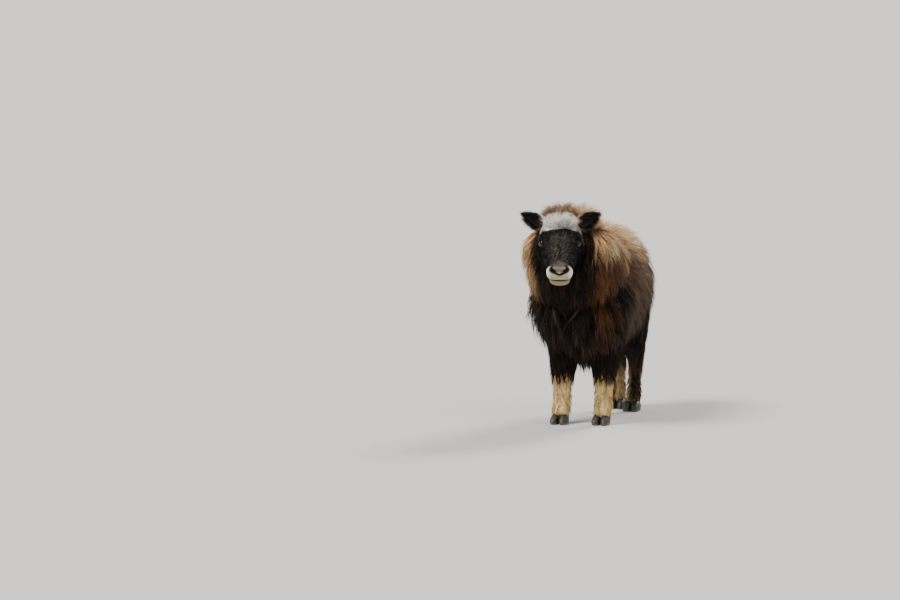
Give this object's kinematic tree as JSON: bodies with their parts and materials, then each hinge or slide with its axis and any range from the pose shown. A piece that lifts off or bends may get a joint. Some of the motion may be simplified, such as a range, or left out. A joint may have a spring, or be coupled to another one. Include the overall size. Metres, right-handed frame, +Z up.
{
  "type": "muskox calf",
  "caption": "Shaggy muskox calf standing alert, its head turned to one side, with a thick ruff, a pale saddle and pale stockings.",
  "frame": {"origin": "on the floor, under the middle of the bounding box", "axes": "+X is the calf's left, -Y its front, +Z up"},
  "size_m": [0.4274, 1.0178, 0.8952],
  "materials": {
    "dark_hair": "long dark brown guard hair",
    "rust_hair": "long rust brown hair with tan tips",
    "pale_hair": "woolly pale grey brown hair",
    "white_hair": "woolly off-white hair",
    "cream_hair": "short cream hair",
    "ear_hair": "short black hair",
    "muzzle_skin": "short pale hair and bare dark nose skin",
    "eye": "wet and glossy",
    "hoof_horn": "dull dark horn"
  },
  "bodies": {
    "root": {"eye_left": "eye", "eye_right": "eye", "muzzle": "muzzle_skin", "head": "dark_hair", "ear_left": "ear_hair", "ear_right": "ear_hair", "crown": "white_hair", "saddle": "pale_hair", "torso": "dark_hair", "neck": "rust_hair", "tail": "dark_hair", "hoof_front_left_inner": "hoof_horn", "hoof_front_left_outer": "hoof_horn", "shank_front_left": "cream_hair", "leg_front_left": "dark_hair", "hoof_front_right_inner": "hoof_horn", "hoof_front_right_outer": "hoof_horn", "shank_front_right": "cream_hair", "leg_front_right": "dark_hair", "hoof_hind_left_inner": "hoof_horn", "hoof_hind_left_outer": "hoof_horn", "shank_hind_left": "cream_hair", "leg_hind_left": "dark_hair", "hoof_hind_right_inner": "hoof_horn", "hoof_hind_right_outer": "hoof_horn", "shank_hind_right": "cream_hair", "leg_hind_right": "dark_hair"}
  },
  "joints": []
}
